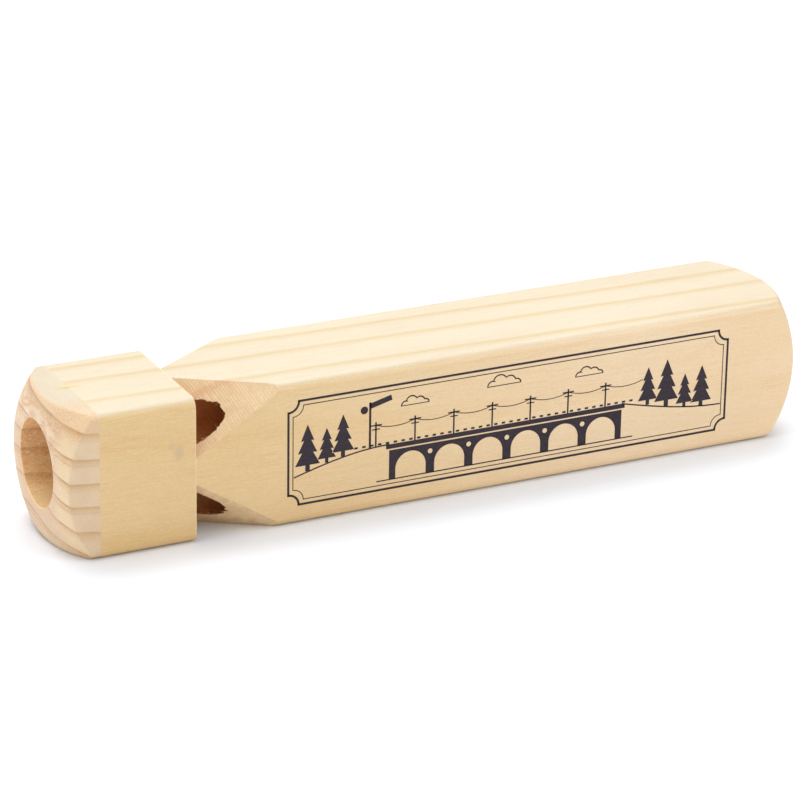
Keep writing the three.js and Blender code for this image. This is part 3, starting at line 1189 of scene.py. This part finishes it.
def scattered_fibres(tree, given):
    inputs = {"Curve": solid_of(given["Paths"]), "Length": given["Spacing"]}
    along = step(tree, "GeometryNodeCurveToPoints", inputs, "Points", mode="LENGTH")
    most_back, most_forward = (-1.0, -0.75, -0.75), (0.35, 0.75, 0.75)
    aim = random_between(tree, most_back, most_forward, AIM_SEED, "FLOAT_VECTOR")
    draw = random_between(tree, 0.0, 1.0, SIZE_SEED)
    size = (draw.math("POWER", 6.0) * 0.95 + 0.2) * step(tree, "GeometryNodeInputRadius")
    real = realized(copies_on(
        along,
        solid_of(given["Fibre"]),
        Rotation=step(tree, "FunctionNodeAlignRotationToVector", {"Vector": aim}, axis="X"),
        Scale=joined(tree, size, size.at_most(0.6), size.at_most(0.6)),
    ))
    x, y, z = split(step(tree, "GeometryNodeInputPosition"))
    edge = HALF_SIDE * MM + STAND_OFF
    held = joined(tree, x, y.at_most(edge).at_least(-edge), z.at_most(edge * 2).at_least(FLOOR_GAP))
    kept = step(tree, "GeometryNodeSetPosition", {"Geometry": real, "Position": held})
    return step(tree, "GeometryNodeSetMaterial", {"Geometry": kept, "Material": given["Finish"]})


def torn_fibre(point, normal):
    color = ramp(noise(point, 1.3), (0.3, (0.85, 0.68, 0.45)), (0.7, (0.96, 0.86, 0.68)))
    return {"color": color, "roughness": 0.75, "specular": 0.5}


torn_fibres = mesh_piece("torn_fibres", [(0, 0, 0)], [])
run_tree(torn_fibres, scattered_fibres, {
    "Paths": fibre_paths,
    "Fibre": fibre,
    "Spacing": 0.3 * MM,
    "Finish": finished(torn_fibre),
})
bpy.data.objects.remove(fibre)
bpy.data.objects.remove(fibre_paths)
torn_fibres.data.shade_smooth()
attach(torn_fibres, "root")
print("torn_fibres", len(torn_fibres.data.polygons), "faces")

# %% [markdown]
# ## The ink ornament
#
# The side carries a print in one thin black ink. Ours is a general one of a railway line: pines,
# a signal, and a viaduct with poles and wires, inside a ruled border. Ink has an edge but almost
# no height, so it is modelled as flat strokes and filled shapes a fiftieth of a millimetre thick.
# Everything is drawn as if on paper, and turned up on to the side at the end.

# %% Strokes and shapes on paper, in millimetres
LEFT, RIGHT, LOW, HIGH = -41.0, 74.0, 5.0, 30.5
DECK, GROUND = 16.0, 7.2
ARCH_PITCH, ARCH_RADIUS, FIRST_ARCH, ARCHES = 10.0, 3.9, -10.0, 6
strokes, shapes = [], []


def stroke(width, *points, closed=False):
    strokes.append((width / 2 * MM, closed, points))


def arc(x, y, radius, start, stop, steps=14):
    turns = np.radians(np.linspace(start, stop, steps + 1))
    return [(x + radius * math.cos(t), y + radius * math.sin(t)) for t in turns]


def disc(x, y, radius):
    shapes.append(arc(x, y, radius, 0, 342, 19))


def ruled_border(inset, width, corner=2.6):
    """Straight rules with a hollow quarter circle at each corner."""
    left, right, low, high = LEFT + inset, RIGHT - inset, LOW + inset, HIGH - inset
    gap = corner - width / 2
    for y in (low, high):
        stroke(width, (left + gap, y), (right - gap, y))
    for x in (left, right):
        stroke(width, (x, low + gap), (x, high - gap))
    for x, y, start in ((left, low, 0), (right, low, 90), (right, high, 180), (left, high, 270)):
        stroke(width, *arc(x, y, corner, start, start + 90))


def pine(x, y, height):
    """A fir as one outline: a trunk and three tiers."""
    right_side = [(0.05, 0.0), (0.05, 0.13), (0.27, 0.13), (0.12, 0.40), (0.21, 0.39),
                  (0.08, 0.66), (0.145, 0.65), (0.0, 1.0)]
    points = [(x + u * height, y + v * height) for u, v in right_side]
    points += [(x - u * height, y + v * height) for u, v in reversed(right_side[:-1])]
    shapes.append(points)


def cloud(x, y, size):
    """A cloud of four bows on a flat base."""
    bows = [(-1.6, 0.0, 0.7, 180, 60), (-0.6, 0.45, 0.95, 160, 40),
            (0.75, 0.3, 0.8, 130, 20), (1.7, 0.0, 0.55, 100, 0)]
    outline = [arc(x + u * size, y + v * size, r * size, a, b, 8) for u, v, r, a, b in bows]
    stroke(0.32, *sum(outline, []), closed=True)


def bank(start, stop, low, high, height, rise):
    """The ground beside the bridge, drawn from start to stop as a quarter of a wave."""
    turn = math.pi / 2 / (high - low)
    line = [(x, height + rise * math.sin((x - low) * turn)) for x in np.linspace(start, stop, 20)]
    stroke(0.35, *line)


print("paper from", (LEFT, LOW), "to", (RIGHT, HIGH))

# %% [markdown]
# The viaduct is the ornament's dark middle, as heavy as the ink of such prints is. Six round
# arches stand under the deck, and a round eye is drawn in each pier between them.

# %% The drawing
ARCH_SPRING, EYE_HEIGHT, EYE_RADIUS = 9.6, 12.6, 0.62
DECK_DEPTH, SPANDREL_DEPTH, DECK_OVERHANG = 1.15, 1.5, 0.8
SIGNAL_AT, FIRST_POLE = -20.5, -19.0
WIRE_HEIGHT, WIRE_SAG = 21.3, 0.9


def viaduct():
    """Piers and round arches as one outline, the deck on it, and the eyes of the piers."""
    half = ARCH_PITCH / 2 + (ARCH_PITCH / 2 - ARCH_RADIUS) * 0.5
    centres = [FIRST_ARCH + ARCH_PITCH * i for i in range(ARCHES)]
    left, right = centres[0] - half, centres[-1] + half
    top = DECK - SPANDREL_DEPTH
    outline = [(right, GROUND), (right, top), (left, top), (left, GROUND)]
    for centre in centres:
        outline.append((centre - ARCH_RADIUS, GROUND))
        outline += arc(centre, ARCH_SPRING, ARCH_RADIUS, 180, 0, 20)
        outline.append((centre + ARCH_RADIUS, GROUND))
    shapes.append(outline)
    x0, x1, y0 = left - DECK_OVERHANG, right + DECK_OVERHANG, DECK - DECK_DEPTH
    shapes.append([(x0, y0), (x1, y0), (x1, DECK), (x0, DECK)])
    for centre in centres[:-1]:
        disc(centre + ARCH_PITCH / 2, EYE_HEIGHT, EYE_RADIUS)
    return left, right


ruled_border(0.0, 0.55)
ruled_border(1.15, 0.22)
bridge_left, bridge_right = viaduct()
stroke(0.3, (bridge_left - 3.2, GROUND), (bridge_right + 3.2, GROUND))
bank(LEFT + 1.4, bridge_left, LEFT, bridge_left, 11.4, 4.6)
bank(bridge_right, RIGHT - 1.4, bridge_right, RIGHT, DECK, -4.4)
for x, y, height in ((-36.2, 12.9, 11.5), (-31.4, 14.2, 8.6), (-27.3, 15.0, 10.4),
                     (52.5, 14.6, 9.6), (57.6, 13.4, 12.0), (62.6, 12.4, 8.6), (67.2, 11.8, 10.6)):
    pine(x, y, height)
for x, y, size in ((-9.0, 25.0, 1.55), (14.0, 26.0, 1.9), (36.5, 24.8, 1.6)):
    cloud(x, y, size)
stroke(0.55, (SIGNAL_AT, DECK - 0.2), (SIGNAL_AT, 27.2))
shapes.append([(-20.4, 25.6), (-14.9, 27.0), (-15.2, 28.3), (-20.7, 26.9)])
disc(-22.0, 25.5, 0.95)
for x in np.arange(FIRST_POLE, 44.0, ARCH_PITCH):
    shares = np.linspace(0, 1, 12)
    stroke(0.2, *[(x + ARCH_PITCH * u, WIRE_HEIGHT - 4 * WIRE_SAG * u * (1 - u)) for u in shares])
print(len(strokes), "strokes and", len(shapes), "filled shapes")

# %% [markdown]
# A tree makes the ink. The strokes are swept with a flat section whose width is each path's own
# radius, the closed outlines are filled and given thickness, and what repeats along the line, the
# sleepers and the telegraph poles, is set at even steps.

# %% The inking recipe
MICRON = 0.001 * MM


def inked(tree, given):
    thickness = given["Ink Thickness"]
    inputs = {"Width": 2.0, "Height": 2.0}
    section = step(tree, "GeometryNodeCurvePrimitiveQuadrilateral", inputs)

    def swept(curve):
        return step(tree, "GeometryNodeCurveToMesh", {
            "Curve": curve,
            "Profile Curve": section,
            "Scale": step(tree, "GeometryNodeInputRadius"),
            "Fill Caps": True,
        })

    def row_of(shape, count, pitch, x, y):
        return copies_on(step(tree, "GeometryNodeMeshLine", {
            "Count": count,
            "Start Location": (x * MM, y * MM, 0),
            "Offset": joined(tree, pitch, 0.0, 0.0),
        }), shape)

    filled = step(tree, "GeometryNodeFillCurve", {"Curve": solid_of(given["Shapes"])}, mode="TRIANGLES")
    inputs = {"Mesh": filled, "Offset Scale": thickness, "Individual": False}
    raised = step(tree, "GeometryNodeExtrudeMesh", inputs)
    under = step(tree, "GeometryNodeFlipFaces", {"Mesh": filled})
    pole = swept(solid_of(given["Pole"]))
    poles = row_of(pole, given["Poles"], given["Pole Pitch"], FIRST_POLE, DECK)
    sleeper = step(tree, "GeometryNodeMeshCube", {"Size": (0.9 * MM, 0.5 * MM, 0.02 * MM)})
    sleepers = row_of(sleeper, given["Sleepers"], given["Sleeper Pitch"], -24.0, DECK + 0.45)
    everything = step(tree, "GeometryNodeJoinGeometry")
    for part in (under, raised, swept(solid_of(given["Strokes"])), poles, sleepers):
        feed(everything.socket.node.inputs[0], part)
    x, y, z = split(step(tree, "GeometryNodeInputPosition"))
    on_paper = joined(tree, x, y, z.above(MICRON) * thickness)
    inputs = {"Geometry": realized(everything), "Position": on_paper}
    flat = step(tree, "GeometryNodeSetPosition", inputs)
    whole = step(tree, "GeometryNodeMergeByDistance", {"Geometry": flat, "Distance": MICRON})
    upright = step(tree, "GeometryNodeTransform", {
        "Geometry": whole,
        "Rotation": (math.pi / 2, 0, 0),
        "Translation": (0, -HALF_SIDE * MM + 2 * MICRON, 0),
    })
    return step(tree, "GeometryNodeSetMaterial", {"Geometry": upright, "Material": given["Ink"]})


print("inking recipe ready")

# %% [markdown]
# Printed ink is thinner where the wood is rough, so it is a soft black with a cloudy sheen. The
# poles and sleepers are counted here, enough to carry the line across the bridge.

# %% Print the ink
def black_ink(point, normal):
    cover = noise(point, (0.8, 3.0, 3.0), 3.0, 0.7)
    return {
        "color": ramp(cover, (0.3, (0.018, 0.012, 0.020)), (0.75, (0.045, 0.028, 0.036))),
        "roughness": fitted(cover, 0.3, 0.7, 0.5, 0.7),
        "specular": 0.3,
        "bump": (cover, 0.02, 0.5),
    }


pole_stroke = path_object("pole", [
    (0.2 * MM, False, [(0, 0), (0, 6.1)]),
    (0.17 * MM, False, [(-1.5, 5.3), (1.5, 5.3)]),
    (0.14 * MM, False, [(-1.0, 4.3), (1.0, 4.3)]),
])
stroke_paths = path_object("strokes", strokes)
shape_paths = path_object("shapes", [(1.0, True, outline) for outline in shapes])
ink_print = mesh_piece("ink_print", [(0, 0, 0)], [])
run_tree(ink_print, inked, {
    "Strokes": stroke_paths,
    "Shapes": shape_paths,
    "Pole": pole_stroke,
    "Poles": 7,
    "Pole Pitch": ARCH_PITCH * MM,
    "Sleepers": 37,
    "Sleeper Pitch": 2.0 * MM,
    "Ink Thickness": 0.02 * MM,
    "Ink": finished(black_ink),
})
for path in (pole_stroke, stroke_paths, shape_paths):
    bpy.data.objects.remove(path)
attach(ink_print, "root")
print("ink_print", len(ink_print.data.polygons), "faces")

# %% [markdown]
# ## Light and floor
#
# A catalogue picture has a white floor with no horizon and broad light from above and behind, so
# the top is nearly white and the side keeps its colour. The room's own light fills the shadows.
# The lights above stand a little to the left, so that the head's shadow falls under the notch.
# The floor is a cool white, because pine throws a warm light on what it lies on.

# %% The floor
FLOOR_REACH, FLOOR_DROP = 6000, 0.05


def white_floor(point, normal):
    return {"color": (0.890, 0.925, 0.985, 1), "roughness": 1.0, "specular": 0.0}


corners = [(x * FLOOR_REACH, y * FLOOR_REACH, 0) for x, y in CORNERS]
floor = mesh_piece("floor", corners, [(0, 1, 2, 3)], finished(white_floor))
floor.location.z = -FLOOR_DROP * MM
print("floor", floor.dimensions[:2], "m")

# %% [markdown]
# Each light is a rectangle, because a photographer's softbox is one: a large one makes soft
# shadows. A light's own -Z axis is turned towards the place that it lights.

# %% Softboxes and room light
SOFT_BOXES = {
    # name: (place, target, size, watts)
    "overhead": ((-0.15, 0.25, 1.1), (0, 0, 0), (1.6, 0.9), 4.6),
    "over_front": ((-0.33, -0.3, 1.2), (0, 0, 0.02), (1.4, 0.5), 2.4),
    "over_back": ((0.04, 0.5, 1.25), (0, 0, 0.02), (1.6, 0.6), 6.8),
    "high_behind": ((0.4, 0.95, 1.0), (0, 0, 0.02), (1.6, 0.7), 4.3),
    "behind": ((0.2, 1.35, 0.5), (-0.03, 0, 0.02), (0.9, 0.5), 1.6),
    "left": ((-1.1, -0.1, 0.4), (-0.09, 0, 0.02), (0.6, 0.6), 1.9),
    "right_front": ((0.52, -0.62, 0.55), (0.06, 0, 0.02), (0.5, 0.5), 2.35),
}
for name, (place, target, size, watts) in SOFT_BOXES.items():
    light = bpy.data.objects.new(name, bpy.data.lights.new(name, "AREA"))
    light.data.shape = "RECTANGLE"
    light.data.size, light.data.size_y = size
    light.data.energy = watts
    light.location = place
    light.rotation_mode = "QUATERNION"
    light.rotation_quaternion = (Vector(target) - Vector(place)).to_track_quat("-Z", "Y")
    bpy.context.scene.collection.objects.link(light)

world = bpy.data.worlds.new("studio")
world.use_nodes = True
world.node_tree.nodes["Background"].inputs["Color"].default_value = (1, 1, 1, 1)
world.node_tree.nodes["Background"].inputs["Strength"].default_value = 0.486
bpy.context.scene.world = world
bpy.context.scene.view_settings.view_transform = "Standard"
print("lights:", *SOFT_BOXES)

# %% [markdown]
# ## The size
#
# The dressed model is meant to fill the same box as the CAD model.
